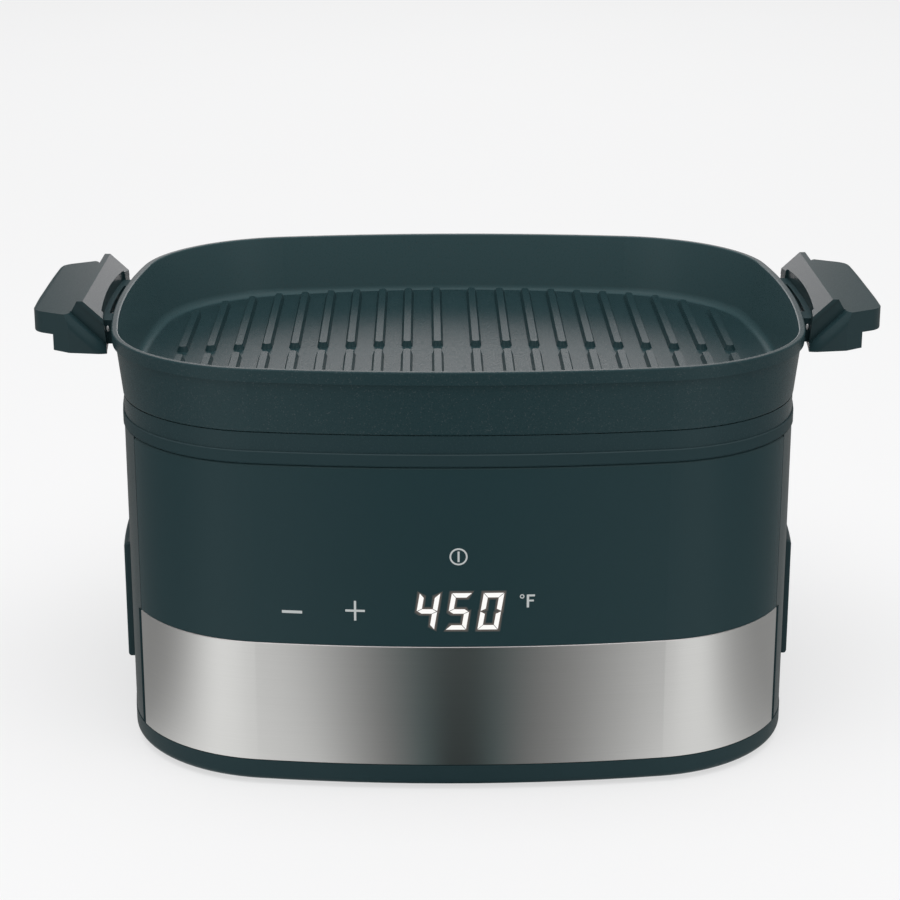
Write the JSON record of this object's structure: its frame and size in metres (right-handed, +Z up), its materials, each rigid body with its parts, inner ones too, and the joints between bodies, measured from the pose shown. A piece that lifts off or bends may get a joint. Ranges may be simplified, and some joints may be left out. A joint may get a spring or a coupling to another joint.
{
  "type": "air fryer grill",
  "caption": "Countertop grill with a fan-assisted heated base, touch front, steel band and a lift-off ridged grill pan with two side handles.",
  "frame": {"origin": "centre of the footprint, on the surface that the rubber feet stand on", "axes": "+X to the user's right, +Y to the rear, away from the touch front, +Z up"},
  "size_m": [0.432, 0.3038, 0.2238],
  "materials": {
    "pan_coating": "cast aluminium with a black non-stick coat",
    "handle_plastic": "satin black phenolic",
    "satin_black": "satin black moulding",
    "gloss_black": "glossy black panel",
    "seat_black": "glossy black heat-resistant moulding",
    "brushed_steel": "horizontally brushed",
    "plinth_black": "satin black moulding",
    "foot_rubber": "soft black",
    "bracket_black": "black enamelled steel",
    "plain_steel": "plain steel sheet and rod",
    "screw_steel": "zinc plated",
    "deck_sheet": "aluminised steel sheet",
    "element_sheath": "dark oxidised sheath",
    "mineral_pad": "pressed mineral fibre",
    "fan_aluminium": "plain aluminium",
    "fan_plastic": "dark moulding",
    "motor_case": "grey lacquer",
    "circuit_board": "green board",
    "display_dark": "dark diffuser",
    "part_plastic": "pale moulding",
    "fuse_metal": "tinned case"
  },
  "bodies": {
    "base": {"pan_seat_ring": "seat_black", "top_collar": "satin_black", "outer_housing": "satin_black", "front_fascia": "gloss_black", "steel_band": "brushed_steel", "base_plinth": "plinth_black", "rubber_feet": "foot_rubber", "housing_screws": "screw_steel", "side_grip_right": "satin_black", "side_grip_left": "satin_black", "rear_vent": "plinth_black", "cord_gland": "plinth_black", "heating_deck": "deck_sheet", "deck_insulation": "mineral_pad", "heating_element": "element_sheath", "element_clips": "plain_steel", "fan_guard": "plain_steel", "guard_posts": "plain_steel", "fan_motor": "motor_case", "motor_bracket": "plain_steel", "motor_screws": "screw_steel", "deck_screws": "screw_steel", "probe_holder": "plain_steel", "probe_spring": "plain_steel", "thermal_fuse": "fuse_metal", "control_board": "circuit_board", "display_module": "display_dark", "touch_pads": "part_plastic", "board_screws": "screw_steel", "power_board": "circuit_board", "power_board_screws": "screw_steel", "power_relay": "part_plastic", "filter_capacitor": "fan_aluminium", "power_transformer": "motor_case", "board_heat_sink": "fan_aluminium", "terminal_block": "part_plastic"},
    "pan": {"grill_pan": "pan_coating", "pan_handle_right": "handle_plastic", "pan_handle_left": "handle_plastic", "handle_bracket_right": "bracket_black", "handle_bracket_left": "bracket_black", "handle_screws": "screw_steel"},
    "rotor": {"motor_shaft": "plain_steel", "convection_fan": "fan_aluminium", "fan_nut": "screw_steel", "cooling_fan": "fan_plastic"},
    "probe": {"temperature_probe": "fan_aluminium"}
  },
  "joints": [
    {"name": "pan_lift", "type": "slide", "parent": "base", "child": "pan", "axis": [0, 0, 1], "range_m": [0, 0.12]},
    {"name": "fan_spin", "type": "hinge", "parent": "base", "child": "rotor", "pos_m": [0, 0, 0.1], "axis": [0, 0, 1], "continuous": true},
    {"name": "probe_press", "type": "slide", "parent": "base", "child": "probe", "axis": [0, 0, 1], "range_m": [-0.003, 0], "stiffness_N_per_m": 400, "springref_m": 0.004, "deforming": ["probe_spring"]}
  ]
}
